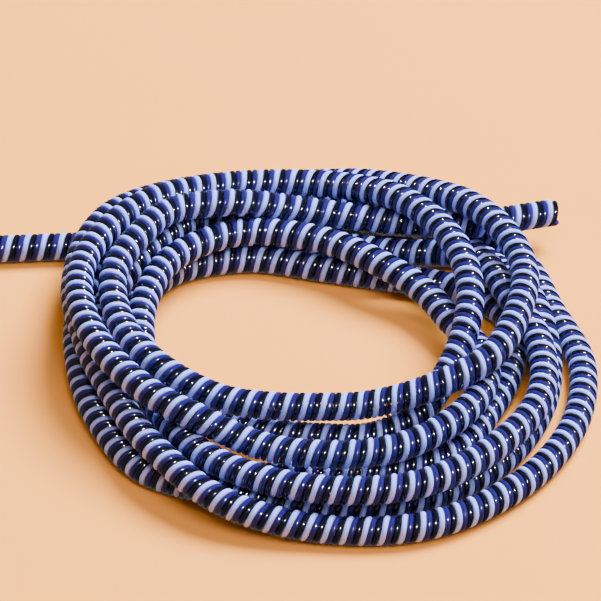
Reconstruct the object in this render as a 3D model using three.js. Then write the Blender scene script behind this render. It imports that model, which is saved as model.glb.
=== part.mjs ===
import * as THREE from 'three';

// A spiral cable wrap: round plastic strands wound side by side into one hollow, flexible tube.
// The tube lies in seven loose turns, which cross over each other, with both of its ends free.
// Millimetres, +Z up, standing on z = 0.

// Driving dimensions
const STRAND_DIAMETER = 0.8;
const BORE = 2.4;             // clear width inside the wound tube
const TURN_CLEARANCE = 0.15;  // least gap between two turns that lie on or beside each other
const TUBE_SIDES = 12;
const BORE_SIDES = 6;
const STEP_LENGTH = 5.5;      // length of tube between two rings of corners

// Fineness of the line that the turns settle on
const POINTS_PER_DIAMETER = 2;
const SETTLING_ROUNDS = 300;
const STRAIGHTENING = 0.5;    // share of a kink that goes in each round
const PUSH = 0.4;             // share of an overlap by which each of two turns gives way in a round
const NEAR_POINTS = 3 * POINTS_PER_DIAMETER; // nearer along the tube, points never push each other

const TUBE_DIAMETER = BORE + 2 * STRAND_DIAMETER;

// The lie of the tube, in tube diameters. A tail is a list of [x, y, level]. A turn has its reach
// from the coil's centre and its level at sixteen compass bearings, clockwise from the north-west.
// Level 0 lies on the table, 1 on another turn and 2 on two of them.
const COIL_CENTRE = [0.7, -4];
const BEARINGS = 16;
const FIRST_BEARING = -2;
const LEFT_TAIL = [
  [-13.5, 3.2, 0], [-11.5, 3.2, 0], [-9.3, 3.4, 0], [-7, 3.7, 0], [-5, 4.1, 0], [-2.9, 4.6, 0],
];
const TURNS = [
  {
    reach: [7.9, 7.6, 8.1, 7.5, 7.8, 8.2, 8.3, 8.5, 8.1, 7.4, 6.6, 6.1, 6.1, 6.6],
    level: [0, 0.1, 0.7, 1, 1, 1, 1, 1, 1, 0.9, 0.8, 0.7, 0.9, 1],
  },
  {
    reach: [7.3, 7.4, 6.3, 5.3, 5.1, 5, 5.6, 6.1, 6.4, 6.6, 6.6, 6.5, 7.3, 7.7, 8.3, 9],
    level: [1, 0.9, 1, 1, 0.7, 0.5, 0.5, 0.9, 1, 0.9, 0.8, 0.6, 1.4, 1.8, 2, 1.8],
  },
  {
    reach: [9.4, 9.6, 9.4, 8, 6.7, 5.7, 5, 4.6, 4.6, 4.3, 4, 4.1, 4.5, 5.7, 6.3, 7.5],
    level: [1.5, 0.9, 0.7, 1.4, 1.7, 1.6, 1.2, 0.7, 0.3, 0, 0, 0, 0, 0, 0, 0],
  },
  {
    reach: [7.9, 7.1, 6, 5.9, 6.8, 7.4, 6.6, 6.2, 6.5, 6.2, 6, 6.6, 7.1, 7.1, 7.2, 8],
    level: [0, 0, 0, 0, 0, 0, 0, 0, 0, 0, 0, 0, 0, 0, 0, 0.4],
  },
  {
    reach: [8.3, 8.7, 8.6, 9.2, 8.6, 7.9, 7.8, 7.9, 8.1, 8.1, 7.8, 7.7, 8.3, 8.1, 8.3, 9],
    level: [1, 0.9, 0, 0, 0, 0.6, 0, 0, 0, 0, 0, 0, 0, 0, 0, 0.1],
  },
  {
    reach: [9.2, 10.3, 9.5, 10.1, 9.5, 8.5, 8.9, 9.2, 9.4, 9.5, 9, 8.8, 8.1, 7.6, 8, 9.2],
    level: [1, 0.1, 0, 0, 0, 0, 0, 0, 0, 0, 0, 0.5, 1, 1, 1, 1],
  },
  {
    reach: [10.5, 11.2, 10.2, 9.2, 8.4, 7.7, 6.8, 6.2, 4.9, 4, 3.8, 4.1, 4.8, 5.9, 6.8, 7.8],
    level: [1, 0, 0, 0.8, 1.6, 1.8, 1.9, 1.8, 1.3, 0.9, 0.9, 0.9, 0.9, 1.3, 1.4, 1.6],
  },
];
const RIGHT_TAIL = [
  [-5.6, 1.2, 1.8], [-4.7, 2.6, 1.7], [-2.6, 3.4, 1.6], [0.7, 4.1, 0.9], [3.9, 3.8, 0.8],
  [6.2, 3.4, 0.9], [7.8, 3.8, 0.9], [9.1, 4.3, 0.8],
];

function guidePoint(x, y, level) {
  return new THREE.Vector3(x, y, level + 0.5).multiplyScalar(TUBE_DIAMETER);
}

function turnPoints(turn, firstBearing) {
  return turn.reach.map((reach, index) => {
    const angle = ((firstBearing + index) * 2 * Math.PI) / BEARINGS;
    const x = COIL_CENTRE[0] + reach * Math.sin(angle);
    const y = COIL_CENTRE[1] + reach * Math.cos(angle);
    return guidePoint(x, y, turn.level[index]);
  });
}

// The line that the tube's middle would follow if its turns could pass through each other
function guideLine() {
  const points = LEFT_TAIL.map((point) => guidePoint(...point));
  for (const turn of TURNS) {
    const missing = BEARINGS - turn.reach.length; // the first turn starts where the left tail ends
    points.push(...turnPoints(turn, FIRST_BEARING + missing));
  }
  points.push(...RIGHT_TAIL.map((point) => guidePoint(...point)));
  return points;
}

function smoothLine(points) {
  const line = new THREE.CatmullRomCurve3(points);
  line.arcLengthDivisions = 10 * points.length;
  return line;
}

function bendAt(points, index) {
  const middle = points[index - 1].clone().add(points[index + 1]).multiplyScalar(0.5);
  return middle.sub(points[index]);
}

// Turns that come closer than their spacing push each other apart, the bends that this adds are
// straightened again, and nothing sinks into the table
function settle(points) {
  const spacing = TUBE_DIAMETER + TURN_CLEARANCE;
  const bends = points.map((point, index) =>
    index > 0 && index < points.length - 1 ? bendAt(points, index) : null);
  for (let round = 0; round < SETTLING_ROUNDS; round += 1) {
    const moves = bends.map((bend, index) =>
      bend ? bendAt(points, index).sub(bend).multiplyScalar(STRAIGHTENING) : new THREE.Vector3());
    for (let i = 0; i < points.length; i += 1) {
      for (let j = i + NEAR_POINTS; j < points.length; j += 1) {
        const distance = points[i].distanceTo(points[j]);
        if (distance < spacing) {
          const push = points[j].clone().sub(points[i]).setLength((spacing - distance) * PUSH);
          moves[i].sub(push);
          moves[j].add(push);
        }
      }
    }
    points.forEach((point, index) => {
      point.add(moves[index]);
      point.z = Math.max(point.z, TUBE_DIAMETER / 2);
    });
  }
  return points;
}

// The settled line, with frames that keep one flat side of the tube facing the table
class TubeLine extends THREE.CatmullRomCurve3 {
  computeFrenetFrames(steps) {
    const up = new THREE.Vector3(0, 0, 1);
    const tangents = [];
    const normals = [];
    const binormals = [];
    for (let step = 0; step <= steps; step += 1) {
      const tangent = this.getTangentAt(step / steps);
      const normal = up.clone().cross(tangent).normalize();
      tangents.push(tangent);
      normals.push(normal);
      binormals.push(tangent.clone().cross(normal));
    }
    return { tangents, normals, binormals };
  }
}

function polygon(diameter, sides) {
  return Array.from({ length: sides }, (_, index) => {
    const angle = ((index + 0.5) / sides) * 2 * Math.PI - Math.PI / 2;
    return new THREE.Vector2(Math.cos(angle), Math.sin(angle)).multiplyScalar(diameter / 2);
  });
}

function windingSection() {
  const section = new THREE.Shape(polygon(TUBE_DIAMETER, TUBE_SIDES));
  section.holes.push(new THREE.Path(polygon(BORE, BORE_SIDES)));
  return section;
}

function windingGeometry() {
  const guide = smoothLine(guideLine());
  const count = Math.round((guide.getLength() / TUBE_DIAMETER) * POINTS_PER_DIAMETER);
  const line = new TubeLine(settle(guide.getSpacedPoints(count)));
  line.arcLengthDivisions = 4 * count;
  const geometry = new THREE.ExtrudeGeometry(windingSection(), {
    steps: Math.round(line.getLength() / STEP_LENGTH),
    bevelEnabled: false,
    extrudePath: line,
  });
  geometry.computeBoundingBox();
  const { min, max } = geometry.boundingBox;
  return geometry.translate(-(min.x + max.x) / 2, -(min.y + max.y) / 2, -min.z);
}

function buildWrap() {
  const plastic = new THREE.MeshStandardMaterial({ color: 0x3443a0, roughness: 0.3, metalness: 0 });
  const winding = new THREE.Mesh(windingGeometry(), plastic);
  winding.name = 'wound_strands';
  const wrap = new THREE.Group();
  wrap.add(winding);
  return wrap;
}

export default buildWrap();
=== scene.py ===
"""A spiral cable wrap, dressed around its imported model.

Three round plastic strands, one pale, one blue and one black, are wound side by side into one
hollow, flexible, left-handed tube. The tube lies on a table in seven loose turns that cross over
each other, with both of its ends free.
"""

from __future__ import annotations

import logging
import math
from dataclasses import dataclass
from enum import Enum

import bpy
import numpy as np
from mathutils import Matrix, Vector

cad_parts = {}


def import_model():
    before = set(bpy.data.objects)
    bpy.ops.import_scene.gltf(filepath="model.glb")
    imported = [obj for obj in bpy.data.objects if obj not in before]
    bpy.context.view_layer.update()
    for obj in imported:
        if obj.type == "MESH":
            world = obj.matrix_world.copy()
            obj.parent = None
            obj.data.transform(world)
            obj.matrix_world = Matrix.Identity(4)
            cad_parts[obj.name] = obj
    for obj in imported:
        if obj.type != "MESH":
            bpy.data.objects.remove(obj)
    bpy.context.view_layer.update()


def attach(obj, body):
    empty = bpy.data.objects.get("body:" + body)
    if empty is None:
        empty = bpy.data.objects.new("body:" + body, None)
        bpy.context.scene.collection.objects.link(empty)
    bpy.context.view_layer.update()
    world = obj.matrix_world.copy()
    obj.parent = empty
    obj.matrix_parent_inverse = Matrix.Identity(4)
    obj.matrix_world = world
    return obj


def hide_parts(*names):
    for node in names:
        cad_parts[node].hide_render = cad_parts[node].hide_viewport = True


LOG = logging.getLogger("cable_wrap")

Triple = tuple[float, float, float]

# Driving dimensions, in metres
MM = 0.001
STRAND_DIAMETER = 0.8 * MM
BORE = 2.4 * MM
TURN_CLEARANCE = 0.15 * MM
TUBE_DIAMETER = BORE + 2 * STRAND_DIAMETER

TUBE_NODE = "wound_strands"
RUN_MAP = "strand"

# The lie of the tube, in tube diameters. A tail is a list of (x, y, level). A turn has its reach
# from the coil's centre, and then its level, at sixteen compass bearings, clockwise from the
# north-west. Level 0 lies on the table, 1 on another turn and 2 on two of them.
COIL_CENTRE = (0.7, -4.0)
BEARINGS = 16
FIRST_BEARING = -2
LEFT_TAIL = (
    (-13.5, 3.2, 0), (-11.5, 3.2, 0), (-9.3, 3.4, 0), (-7, 3.7, 0), (-5, 4.1, 0), (-2.9, 4.6, 0),
)
TURNS = (
    (
        (7.9, 7.6, 8.1, 7.5, 7.8, 8.2, 8.3, 8.5, 8.1, 7.4, 6.6, 6.1, 6.1, 6.6),
        (0, 0.1, 0.7, 1, 1, 1, 1, 1, 1, 0.9, 0.8, 0.7, 0.9, 1),
    ),
    (
        (7.3, 7.4, 6.3, 5.3, 5.1, 5, 5.6, 6.1, 6.4, 6.6, 6.6, 6.5, 7.3, 7.7, 8.3, 9),
        (1, 0.9, 1, 1, 0.7, 0.5, 0.5, 0.9, 1, 0.9, 0.8, 0.6, 1.4, 1.8, 2, 1.8),
    ),
    (
        (9.4, 9.6, 9.4, 8, 6.7, 5.7, 5, 4.6, 4.6, 4.3, 4, 4.1, 4.5, 5.7, 6.3, 7.5),
        (1.5, 0.9, 0.7, 1.4, 1.7, 1.6, 1.2, 0.7, 0.3, 0, 0, 0, 0, 0, 0, 0),
    ),
    (
        (7.9, 7.1, 6, 5.9, 6.8, 7.4, 6.6, 6.2, 6.5, 6.2, 6, 6.6, 7.1, 7.1, 7.2, 8),
        (0, 0, 0, 0, 0, 0, 0, 0, 0, 0, 0, 0, 0, 0, 0, 0.4),
    ),
    (
        (8.3, 8.7, 8.6, 9.2, 8.6, 7.9, 7.8, 7.9, 8.1, 8.1, 7.8, 7.7, 8.3, 8.1, 8.3, 9),
        (1, 0.9, 0, 0, 0, 0.6, 0, 0, 0, 0, 0, 0, 0, 0, 0, 0.1),
    ),
    (
        (9.2, 10.3, 9.5, 10.1, 9.5, 8.5, 8.9, 9.2, 9.4, 9.5, 9, 8.8, 8.1, 7.6, 8, 9.2),
        (1, 0.1, 0, 0, 0, 0, 0, 0, 0, 0, 0, 0.5, 1, 1, 1, 1),
    ),
    (
        (10.5, 11.2, 10.2, 9.2, 8.4, 7.7, 6.8, 6.2, 4.9, 4, 3.8, 4.1, 4.8, 5.9, 6.8, 7.8),
        (1, 0, 0, 0.8, 1.6, 1.8, 1.9, 1.8, 1.3, 0.9, 0.9, 0.9, 0.9, 1.3, 1.4, 1.6),
    ),
)
RIGHT_TAIL = (
    (-5.6, 1.2, 1.8), (-4.7, 2.6, 1.7), (-2.6, 3.4, 1.6), (0.7, 4.1, 0.9), (3.9, 3.8, 0.8),
    (6.2, 3.4, 0.9), (7.8, 3.8, 0.9), (9.1, 4.3, 0.8),
)


def unit(vectors: np.ndarray) -> np.ndarray:
    """Vectors scaled to a length of one.

    Args:
        vectors: Any array whose last axis holds x, y and z.

    Returns:
        An array of the same shape.
    """
    return vectors / np.linalg.norm(vectors, axis=-1, keepdims=True)


def travelled(points: np.ndarray) -> np.ndarray:
    """The distance along a row of points, from the first point to each.

    Args:
        points: The points in order.

    Returns:
        One distance for each point, the first of them zero.
    """
    steps = np.linalg.norm(np.diff(points, axis=0), axis=1)
    return np.concatenate([[0], np.cumsum(steps)])


def new_object(name: str, data: bpy.types.ID) -> bpy.types.Object:
    """Put a mesh, a light or a camera into the scene.

    Args:
        name: The object's name.
        data: What the object shows.

    Returns:
        The object, at the origin.
    """
    item = bpy.data.objects.new(name, data)
    bpy.context.scene.collection.objects.link(item)
    return item


@dataclass
class SmoothLine:
    """A smooth open line through given points, at an even pace along its length.

    Between two points the line is a cubic whose slopes are weighed by the square roots of the
    distances to the points around it (a centripetal Catmull-Rom spline).
    """

    points: np.ndarray
    divisions: int

    def __post_init__(self) -> None:
        """Work out the cubics and the length of the line up to each of its divisions.

        The square root of a distance is the fourth root of the sum of its squares.
        """
        first = 2 * self.points[0] - self.points[1]
        last = 2 * self.points[-1] - self.points[-2]
        row = np.vstack([first, self.points, last])
        gap = np.sum(np.diff(row, axis=0) ** 2, axis=1)[:, None] ** 0.25
        before, between, after = gap[:-2], gap[1:-1], gap[2:]
        p0, p1, p2, p3 = row[:-3], row[1:-2], row[2:-1], row[3:]
        leaving = (p1 - p0) / before - (p2 - p0) / (before + between) + (p2 - p1) / between
        arriving = (p2 - p1) / between - (p3 - p1) / (between + after) + (p3 - p2) / after
        self.cubics = (
            p1,
            leaving * between,
            3 * (p2 - p1) - (2 * leaving + arriving) * between,
            2 * (p1 - p2) + (leaving + arriving) * between,
        )
        self.parameters = np.linspace(0, 1, self.divisions + 1)
        self.lengths = travelled(self.at(self.parameters))

    @property
    def length(self) -> float:
        """The length of the whole line."""
        return float(self.lengths[-1])

    def at(self, parameter: np.ndarray) -> np.ndarray:
        """Points of the line at parameters from 0 to 1.

        Args:
            parameter: Where to look, with an equal share for each stretch between two points.

        Returns:
            One point for each parameter.
        """
        place = parameter * (len(self.points) - 1)
        stretch = np.minimum(place.astype(int), len(self.points) - 2)
        t = (place - stretch)[:, None]
        c0, c1, c2, c3 = (cubic[stretch] for cubic in self.cubics)
        return c0 + t * (c1 + t * (c2 + t * c3))

    def spaced(self, count: int) -> np.ndarray:
        """Points at even distances along the line.

        Args:
            count: How many stretches lie between the points.

        Returns:
            One more point than there are stretches.
        """
        distance = np.linspace(0, self.length, count + 1)
        return self.at(np.interp(distance, self.lengths, self.parameters))


@dataclass
class TubeLie:
    """How the tube lies on the table: the route of its middle, in metres.

    The guide is a list of given places in tube diameters. The turns then settle:
    those that come closer than their spacing push each other apart, and none sinks into the table.
    """

    diameter: float = TUBE_DIAMETER
    clearance: float = TURN_CLEARANCE
    points_per_diameter: int = 2
    guide_divisions: int = 10
    settled_divisions: int = 4
    settling_rounds: int = 300
    straightening: float = 0.5
    push: float = 0.4
    near_diameters: int = 3
    rounds_per_search: int = 10
    search_reach: float = 2.0

    def guide(self) -> np.ndarray:
        """The places that the tube runs through, from its left end to its right end.

        A place on a turn lies at its reach from the coil's centre, on its compass bearing. The
        tube's middle lies half a diameter above its level.

        Returns:
            The guide points, in metres.
        """
        places = list(LEFT_TAIL)
        for reaches, levels in TURNS:
            first = FIRST_BEARING + BEARINGS - len(reaches)
            angles = (first + np.arange(len(reaches))) * 2 * math.pi / BEARINGS
            x = COIL_CENTRE[0] + np.array(reaches) * np.sin(angles)
            y = COIL_CENTRE[1] + np.array(reaches) * np.cos(angles)
            places.extend(zip(x, y, levels))
        places.extend(RIGHT_TAIL)
        return (np.array(places, dtype=float) + (0, 0, 0.5)) * self.diameter

    def settled(self) -> SmoothLine:
        """The line of the tube's middle after its turns have settled.

        In each round a point moves by a share of the bend that it has gained since the start, and
        by its share of each overlap.

        Returns:
            The line, before it is moved to the frame's origin.
        """
        guide = self.guide()
        route = SmoothLine(guide, self.guide_divisions * len(guide))
        count = round(route.length / self.diameter * self.points_per_diameter)
        points = route.spaced(count)
        spacing = self.diameter + self.clearance
        bends = self.bends(points)
        for settling_round in range(self.settling_rounds):
            if settling_round % self.rounds_per_search == 0:
                near = self.close_pairs(points, self.search_reach * spacing)
            moves = np.zeros_like(points)
            moves[1:-1] = (self.bends(points) - bends) * self.straightening
            self.add_pushes(moves, points, near, spacing)
            points = points + moves
            points[:, 2] = np.maximum(points[:, 2], self.diameter / 2)
        return SmoothLine(points, self.settled_divisions * count)

    @staticmethod
    def bends(points: np.ndarray) -> np.ndarray:
        """How far each inner point lies from the middle of its two neighbours."""
        return (points[:-2] + points[2:]) / 2 - points[1:-1]

    def close_pairs(self, points: np.ndarray, reach: float) -> tuple[np.ndarray, np.ndarray]:
        """Pairs of points that may touch.

        Args:
            points: The points of the line.
            reach: How near the two points of a pair are.

        Returns:
            The places in the line of the first and of the second point of each pair.
        """
        first, second = np.triu_indices(len(points), self.near_diameters * self.points_per_diameter)
        near = np.linalg.norm(points[first] - points[second], axis=1) < reach
        return first[near], second[near]

    def add_pushes(
        self,
        moves: np.ndarray,
        points: np.ndarray,
        near: tuple[np.ndarray, np.ndarray],
        spacing: float,
    ) -> None:
        """Add the moves that take overlapping stretches apart, along the line between them.

        Args:
            moves: The move of each point, which this method adds to.
            points: The points of the line.
            near: The pairs that may touch.
            spacing: The least distance between two stretches.
        """
        first, second = near
        apart = points[second] - points[first]
        distance = np.linalg.norm(apart, axis=1)
        overlap = np.maximum(spacing - distance, 0)
        push = apart * (overlap / distance * self.push)[:, None]
        np.subtract.at(moves, first, push)
        np.add.at(moves, second, push)


@dataclass
class TubeFrames:
    """Points along the tube's middle, with the directions across it at each of them."""

    middle: np.ndarray
    side: np.ndarray
    upward: np.ndarray

    @classmethod
    def follow(cls, line: SmoothLine, count: int, shift: np.ndarray) -> TubeFrames:
        """Frames at even distances along a line, whose side direction is level.

        The side direction is square to the vertical and to the way along, and the upward one is
        square to both the way along and the side.

        Args:
            line: The tube's middle.
            count: How many stretches lie between the frames.
            shift: The move from the line's own place to the object's.

        Returns:
            The frames.
        """
        middle = line.spaced(count)
        along = unit(np.gradient(middle, axis=0))
        side = unit(np.cross((0, 0, 1), along))
        return cls(middle + shift, side, np.cross(along, side))

    def around(self, angle: np.ndarray) -> np.ndarray:
        """Directions across the tube, turned from its side towards its top.

        Args:
            angle: One angle for each frame, or a table with one row of angles for every frame.

        Returns:
            A direction of length one for each angle.
        """
        cosine, sine = np.cos(angle)[..., None], np.sin(angle)[..., None]
        if angle.ndim == 1:
            return self.side * cosine + self.upward * sine
        return self.side[:, None] * cosine + self.upward[:, None] * sine


@dataclass(frozen=True)
class Value:
    """A number in a material that changes over the surface, with Python's own operators."""

    tree: MaterialTree
    socket: bpy.types.NodeSocket

    def _math(self, operation: str, *values: Value | float) -> Value:
        """A Math node on one or two values."""
        return self.tree.value("ShaderNodeMath", dict(enumerate(values)), operation=operation)

    def __add__(self, other: Value | float) -> Value:
        """The sum."""
        return self._math("ADD", self, other)

    def __sub__(self, other: Value | float) -> Value:
        """The difference."""
        return self._math("SUBTRACT", self, other)

    def __rsub__(self, other: Value | float) -> Value:
        """The difference, with this value taken away."""
        return self._math("SUBTRACT", other, self)

    def __mul__(self, other: Value | float) -> Value:
        """The product."""
        return self._math("MULTIPLY", self, other)

    __radd__ = __add__
    __rmul__ = __mul__


class MixSocket(Enum):
    """Places of the colour sockets of a Mix node, in its inputs and its outputs."""

    FIRST_COLOUR = 6
    SECOND_COLOUR = 7
    MIXED_COLOUR = 2


class MaterialTree:
    """The nodes of one material."""

    def __init__(self, name: str) -> None:
        """Make an empty material."""
        self.material = bpy.data.materials.new(name)
        self.material.use_nodes = True
        self.nodes = self.material.node_tree.nodes
        self.nodes.clear()

    def node(self, kind: str, inputs: dict, **settings: object) -> bpy.types.Node:
        """Add a node.

        Args:
            kind: The node's type.
            inputs: Values or links by the name or place of the node's input.
            settings: The node's own settings, which are set before its inputs.

        Returns:
            The new node.
        """
        node = self.nodes.new(kind)
        for name, setting in settings.items():
            setattr(node, name, setting)
        for key, value in inputs.items():
            target = node.inputs[key]
            source = value.socket if isinstance(value, Value) else value
            if isinstance(source, bpy.types.NodeSocket):
                self.material.node_tree.links.new(source, target)
            else:
                target.default_value = source
        return node

    def value(self, kind: str, inputs: dict, **settings: object) -> Value:
        """Add a node and take its first output as a value."""
        return Value(self, self.node(kind, inputs, **settings).outputs[0])

    def object_place(self) -> bpy.types.NodeSocket:
        """The place on the object."""
        return self.node("ShaderNodeTexCoord", {}).outputs["Object"]

    def noise(self, place: bpy.types.NodeSocket, scale: float, detail: float) -> Value:
        """Soft noise around a half.

        Args:
            place: Where each point of the surface lies.
            scale: How many clouds the noise has for each unit of length.
            detail: How many times finer clouds are laid over the first ones.

        Returns:
            The noise.
        """
        inputs = {"Vector": place, "Scale": scale, "Detail": detail}
        return self.value("ShaderNodeTexNoise", inputs)

    def tint(self, share: Value, colour: Triple, shade: Triple) -> bpy.types.NodeSocket:
        """A colour that goes over into another as a value rises from 0 to 1.

        Args:
            share: The value.
            colour: The colour at 0.
            shade: The colour at 1.

        Returns:
            The mixed colour.
        """
        inputs = {
            "Factor": share,
            MixSocket.FIRST_COLOUR.value: (*colour, 1.0),
            MixSocket.SECOND_COLOUR.value: (*shade, 1.0),
        }
        mix = self.node("ShaderNodeMix", inputs, data_type="RGBA")
        return mix.outputs[MixSocket.MIXED_COLOUR.value]

    def surface(self, inputs: dict) -> bpy.types.Material:
        """Close the material with its surface.

        Args:
            inputs: Values or links by the name of the surface's input.

        Returns:
            The material.
        """
        surface = self.node("ShaderNodeBsdfPrincipled", inputs)
        self.node("ShaderNodeOutputMaterial", {"Surface": surface.outputs[0]})
        return self.material


@dataclass(frozen=True)
class StrandFinish:
    """The plastic of one strand.

    Slow cloudy changes tint the plastic, fine lines along the strand and specks lie in its relief,
    and its gloss changes a little from place to place. Clouds and specks are counted to the metre.
    Lines are counted to the way around and to the metre along.
    """

    slot: str
    colour: Triple
    shade: Triple
    roughness: float
    subsurface: float
    coat: float
    roughness_change: float = 0.1
    cloud_scale: float = 260.0
    cloud_detail: float = 3.0
    speck_scale: float = 2600.0
    speck_detail: float = 2.0
    line_scale: Triple = (9.0, 300.0, 1.0)
    line_detail: float = 2.0
    line_share: float = 0.6
    relief_strength: float = 0.45
    relief_depth: float = 0.04 * MM
    subsurface_colour: Triple = (0.5, 0.5, 0.8)
    subsurface_depth: float = 0.5 * MM
    coat_roughness: float = 0.03
    specular_level: float = 0.05
    refractive_index: float = 1.49

    def material(self) -> bpy.types.Material:
        """Make the strand's material.

        Returns:
            The material.
        """
        tree = MaterialTree(self.slot + "_plastic")
        place = tree.object_place()
        run = tree.node("ShaderNodeUVMap", {}, uv_map=RUN_MAP).outputs["UV"]
        drawn = tree.node("ShaderNodeMapping", {"Vector": run, "Scale": self.line_scale})
        cloud = tree.noise(place, self.cloud_scale, self.cloud_detail)
        speck = tree.noise(place, self.speck_scale, self.speck_detail)
        lines = tree.noise(drawn.outputs[0], 1.0, self.line_detail)
        relief = lines * self.line_share + speck * (1 - self.line_share)
        bump = tree.node(
            "ShaderNodeBump",
            {"Height": relief, "Strength": self.relief_strength, "Distance": self.relief_depth},
        )
        return tree.surface(
            {
                "Base Color": tree.tint(cloud, self.colour, self.shade),
                "Roughness": self.roughness + (speck + cloud - 1.0) * self.roughness_change,
                "Normal": bump.outputs[0],
                "Subsurface Weight": self.subsurface,
                "Subsurface Radius": self.subsurface_colour,
                "Subsurface Scale": self.subsurface_depth,
                "Coat Weight": self.coat,
                "Coat Roughness": self.coat_roughness,
                "Specular IOR Level": self.specular_level,
                "IOR": self.refractive_index,
            }
        )


PALE = StrandFinish(
    slot="pale_strand",
    colour=(0.31, 0.38, 0.86),
    shade=(0.24, 0.29, 0.74),
    roughness=0.5,
    subsurface=0.2,
    coat=0.0,
)
BLUE = StrandFinish(
    slot="blue_strand",
    colour=(0.013, 0.008, 0.095),
    shade=(0.008, 0.005, 0.06),
    roughness=0.3,
    subsurface=0.0,
    coat=1.0,
)
BLACK = StrandFinish(
    slot="black_strand",
    colour=(0.001, 0.001, 0.003),
    shade=(0.001, 0.001, 0.004),
    roughness=0.3,
    subsurface=0.0,
    coat=1.0,
)


@dataclass
class StrandMesh:
    """A closed mesh from a grid of rings along a strand, with a flat cut at each end.

    A quad joins two neighbouring corners of a ring to the same corners of the next ring, and each
    cut is a fan of triangles around its middle.
    """

    name: str
    rings: np.ndarray

    def quads(self) -> np.ndarray:
        """The faces between the rings, as four corners each."""
        count, sides = self.rings.shape[:2]
        row = np.arange(count - 1)[:, None] * sides
        here = np.arange(sides)[None]
        following = (here + 1) % sides
        corners = (row + here, row + following, row + sides + following, row + sides + here)
        return np.stack(corners, 2).reshape(-1, 4)

    def caps(self) -> np.ndarray:
        """The faces of the two cuts, as three corners each, whose middles are the last vertices."""
        count, sides = self.rings.shape[:2]
        here = np.arange(sides)
        following = (here + 1) % sides
        last_ring = (count - 1) * sides
        middle = np.full(sides, count * sides)
        start = np.stack([following, here, middle], 1)
        end = np.stack([last_ring + here, last_ring + following, middle + 1], 1)
        return np.vstack([start, end])

    def run_map(self) -> np.ndarray:
        """The way around, as a share, and the way along, in metres, at each corner of each face."""
        count, sides = self.rings.shape[:2]
        here = np.arange(sides)[None]
        ways = travelled(self.rings.mean(axis=1))
        before, after = ways[:-1, None], ways[1:, None]
        around = np.stack([here, here + 1, here + 1, here], 2) / sides
        along = np.stack([before, before, after, after], 2)
        shape = (count - 1, sides, 4)
        quads = np.stack([np.broadcast_to(around, shape), np.broadcast_to(along, shape)], 3)
        return np.vstack([quads.reshape(-1, 2), np.zeros((self.caps().size, 2))])

    def make(self) -> bpy.types.Mesh:
        """Make the mesh, with its sides smooth, its cuts flat and the map for its finish.

        Returns:
            The mesh.
        """
        quads, caps = self.quads(), self.caps()
        vertices = np.vstack([self.rings.reshape(-1, 3), self.rings[[0, -1]].mean(axis=1)])
        corners = np.concatenate([quads.ravel(), caps.ravel()])
        sizes = np.repeat([quads.shape[1], caps.shape[1]], [len(quads), len(caps)])
        mesh = bpy.data.meshes.new(self.name)
        mesh.vertices.add(len(vertices))
        mesh.vertices.foreach_set("co", vertices.ravel())
        mesh.loops.add(len(corners))
        mesh.loops.foreach_set("vertex_index", corners)
        mesh.polygons.add(len(sizes))
        mesh.polygons.foreach_set("loop_start", np.cumsum(sizes) - sizes)
        mesh.polygons.foreach_set("use_smooth", np.arange(len(sizes)) < len(quads))
        mesh.update(calc_edges=True)
        layer = mesh.uv_layers.new(name=RUN_MAP)
        layer.data.foreach_set("uv", self.run_map().ravel())
        mesh.validate()
        return mesh


class Hand(Enum):
    """Which way the strands wind, as the sign of their turn along the tube."""

    LEFT = -1
    RIGHT = 1


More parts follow.
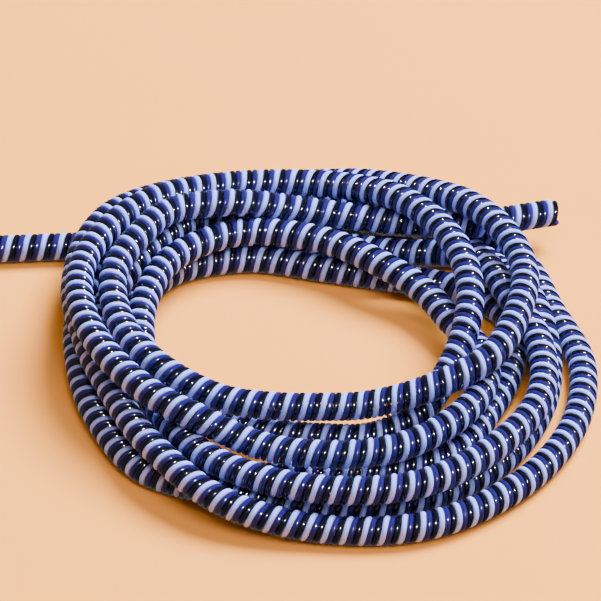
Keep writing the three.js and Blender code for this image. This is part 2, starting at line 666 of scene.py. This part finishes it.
@dataclass
class Winding:
    """The strands wound side by side along the tube's middle."""

    line: SmoothLine
    shift: np.ndarray
    order: tuple[StrandFinish, ...] = (BLACK, BLUE, PALE)
    strand_diameter: float = STRAND_DIAMETER
    tube_diameter: float = TUBE_DIAMETER
    hand: Hand = Hand.LEFT
    gap: float = 0.01 * MM
    first_angle: float = 3.1
    squareness: float = 2.5
    outer_share: float = 0.4
    steps_per_turn: int = 20
    strand_sides: int = 8

    @property
    def radius(self) -> float:
        """The distance from the tube's middle to a strand's middle."""
        return (self.tube_diameter - self.strand_diameter) / 2

    @property
    def pitch(self) -> float:
        """The length of tube in which a strand goes round once.

        Seen along the tube, a strand is wider than its diameter by its slant.
        """
        flat = len(self.order) * (self.strand_diameter + self.gap)
        slant = math.atan(flat / (2 * math.pi * self.radius))
        return len(self.order) * (self.strand_diameter / math.cos(slant) + self.gap)

    def frames(self) -> TubeFrames:
        """The tube's frames, close enough for the strands' steps."""
        turns = self.line.length / self.pitch
        return TubeFrames.follow(self.line, round(turns * self.steps_per_turn), self.shift)

    def section(self) -> tuple[np.ndarray, np.ndarray]:
        """The corners of a strand's section, for a strand with a radius of one.

        It is a circle whose flanks are pressed flat by the strands beside it: the cosine and the
        sine are raised to a power under one and keep their signs. Its corners lie closer together
        on the outside of the tube, where they are seen.

        Returns:
            How far each corner lies outward and across.
        """
        around = np.linspace(0, 2 * math.pi, self.strand_sides, endpoint=False)
        around = around - self.outer_share * np.sin(around)
        corners = np.stack([np.cos(around), np.sin(around)])
        rise, spread = np.sign(corners) * np.abs(corners) ** (2 / self.squareness)
        return rise, spread

    def strand_rings(self, frames: TubeFrames, place: int) -> np.ndarray:
        """The surface of one strand as a grid.

        The strand's middle goes round the tube's middle at the radius of the winding. Around it
        goes the strand's section, square to the strand's own direction.

        Args:
            frames: The tube's frames.
            place: The strand's place in the order of the winding.

        Returns:
            An array of rings along the strand, each with its points around.
        """
        ways = np.linspace(0, self.line.length, len(frames.middle))
        offset = place * self.pitch / len(self.order)
        angle = self.hand.value * 2 * math.pi * (ways - offset) / self.pitch
        outward = frames.around(angle + self.first_angle)
        middle = frames.middle + self.radius * outward
        along = unit(np.gradient(middle, axis=0))
        outward = unit(outward - along * np.sum(outward * along, axis=1)[:, None])
        across = np.cross(along, outward)
        rise, spread = self.section()
        ring = outward[:, None] * rise[None, :, None] + across[:, None] * spread[None, :, None]
        return middle[:, None] + ring * self.strand_diameter / 2

    def make(self, frames: TubeFrames, place: int) -> bpy.types.Object:
        """Make one strand as an object.

        Args:
            frames: The tube's frames.
            place: The strand's place in the order of the winding.

        Returns:
            The strand.
        """
        finish = self.order[place]
        mesh = StrandMesh(finish.slot, self.strand_rings(frames, place)).make()
        mesh.materials.append(finish.material())
        strand = new_object(finish.slot, mesh)
        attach(strand, "root")
        LOG.info("%s: %d faces", finish.slot, len(mesh.polygons))
        return strand


@dataclass
class PackedTube:
    """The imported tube's own corners, which tell where it was moved to stand at the origin."""

    line: SmoothLine
    diameter: float = TUBE_DIAMETER
    sides: int = 12
    step_length: float = 5.5 * MM

    def shift(self) -> np.ndarray:
        """The move that centres the tube's box on the origin, and leaves its height alone.

        Returns:
            The move, in metres.
        """
        steps = round(self.line.length / self.step_length)
        frames = TubeFrames.follow(self.line, steps, np.zeros(3))
        angle = (np.arange(self.sides) + 0.5) / self.sides * 2 * math.pi
        outward = frames.around(angle[None])
        corners = (frames.middle[:, None] + outward * self.diameter / 2).reshape(-1, 3)
        middle = (corners.min(axis=0) + corners.max(axis=0)) / 2
        return np.array([-middle[0], -middle[1], 0.0])


@dataclass(frozen=True)
class TableTop:
    """The pale table top: a wide flat square with faint clouds, counted to the metre."""

    half_width: float = 3.0
    colour: Triple = (0.97, 0.34, 0.045)
    shade: Triple = (0.95, 0.32, 0.04)
    cloud_scale: float = 20.0
    cloud_detail: float = 4.0
    roughness: float = 0.7
    specular_level: float = 0.1

    def material(self) -> bpy.types.Material:
        """Make the table's material.

        Returns:
            The material.
        """
        tree = MaterialTree("table_top")
        cloud = tree.noise(tree.object_place(), self.cloud_scale, self.cloud_detail)
        return tree.surface(
            {
                "Base Color": tree.tint(cloud, self.colour, self.shade),
                "Roughness": self.roughness,
                "Specular IOR Level": self.specular_level,
            }
        )

    def lay(self) -> None:
        """Lay the table top under the wrap. The strands' gloss doesn't mirror it."""
        half = self.half_width
        corners = [(-half, -half, 0), (half, -half, 0), (half, half, 0), (-half, half, 0)]
        mesh = bpy.data.meshes.new("floor")
        mesh.from_pydata(corners, [], [(0, 1, 2, 3)])
        mesh.materials.append(self.material())
        floor = new_object("floor", mesh)
        floor.visible_glossy = False


@dataclass(frozen=True)
class Lamp:
    """A round lamp that faces the wrap, with its place and width in metres and power in watts."""

    name: str
    place: Triple
    width: float
    power: float
    colour: Triple
    seen_in_gloss: bool = True
    lights_surfaces: bool = True

    def hang(self) -> None:
        """Hang the lamp, turned towards the origin."""
        light = bpy.data.lights.new(self.name, "AREA")
        light.shape = "DISK"
        light.size = self.width
        light.energy = self.power
        light.color = self.colour
        item = new_object(self.name, light)
        item.location = self.place
        item.rotation_euler = (-Vector(self.place)).to_track_quat("-Z", "Y").to_euler()
        item.visible_glossy = self.seen_in_gloss
        item.visible_diffuse = self.lights_surfaces


WINDOW = Lamp(
    name="window",
    place=(0.5, 0.4, 0.95),
    width=0.75,
    power=80.0,
    colour=(0.68, 0.78, 1.0),
    seen_in_gloss=False,
)
FILL = Lamp(
    name="fill",
    place=(0.15, -0.5, 0.85),
    width=0.6,
    power=8.0,
    colour=(1.0, 0.96, 0.94),
    seen_in_gloss=False,
)
GLINT = Lamp(
    name="glint",
    place=(0.2, -0.66, 0.74),
    width=0.1,
    power=60.0,
    colour=(1.0, 1.0, 1.0),
    lights_surfaces=False,
)


@dataclass
class Studio:
    """The camera, the table and the light around the wrap."""

    shift: np.ndarray
    elevation: float = math.radians(36)
    distance: float = 180 * TUBE_DIAMETER
    lens: float = 304.2
    sensor: float = 36.0
    clip_start: float = 0.01
    lamps: tuple[Lamp, ...] = (WINDOW, FILL, GLINT)
    room_colour: Triple = (1.0, 0.9, 0.88)
    room_strength: float = 0.22

    def target(self) -> np.ndarray:
        """The point at the middle of the picture."""
        return self.shift + np.array([0, 0, TUBE_DIAMETER / 2])

    def add_camera(self) -> None:
        """Add the camera, which looks along +Y and down on the wrap."""
        camera = bpy.data.cameras.new("camera")
        camera.lens = self.lens
        camera.sensor_width = self.sensor
        camera.clip_start = self.clip_start
        item = new_object("camera", camera)
        back = np.array([0, -math.cos(self.elevation), math.sin(self.elevation)])
        item.location = self.target() + back * self.distance
        item.rotation_euler = (math.pi / 2 - self.elevation, 0, 0)
        bpy.context.scene.camera = item

    def add_lights(self) -> None:
        """Add the lamps and the even light of the room."""
        for lamp in self.lamps:
            lamp.hang()
        world = bpy.data.worlds.new("room")
        world.use_nodes = True
        background = world.node_tree.nodes["Background"]
        background.inputs["Color"].default_value = (*self.room_colour, 1.0)
        background.inputs["Strength"].default_value = self.room_strength
        bpy.context.scene.world = world


def main() -> None:
    """Build the wrap and its studio."""
    logging.basicConfig(level=logging.INFO, format="%(name)s: %(message)s")
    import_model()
    line = TubeLie().settled()
    shift = PackedTube(line).shift()
    LOG.info("tube: %.3f m long", line.length)
    studio = Studio(shift)
    studio.add_camera()
    winding = Winding(line, shift)
    frames = winding.frames()
    black, blue, pale = (winding.make(frames, place) for place in range(len(winding.order)))
    LOG.info("winding: a pitch of %.2f mm", winding.pitch / MM)
    path = frames.middle[:: winding.steps_per_turn]
    path = np.vstack([path, frames.middle[-1:]])
    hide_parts(TUBE_NODE)
    TableTop().lay()
    studio.add_lights()


if __name__ == "__main__":
    main()
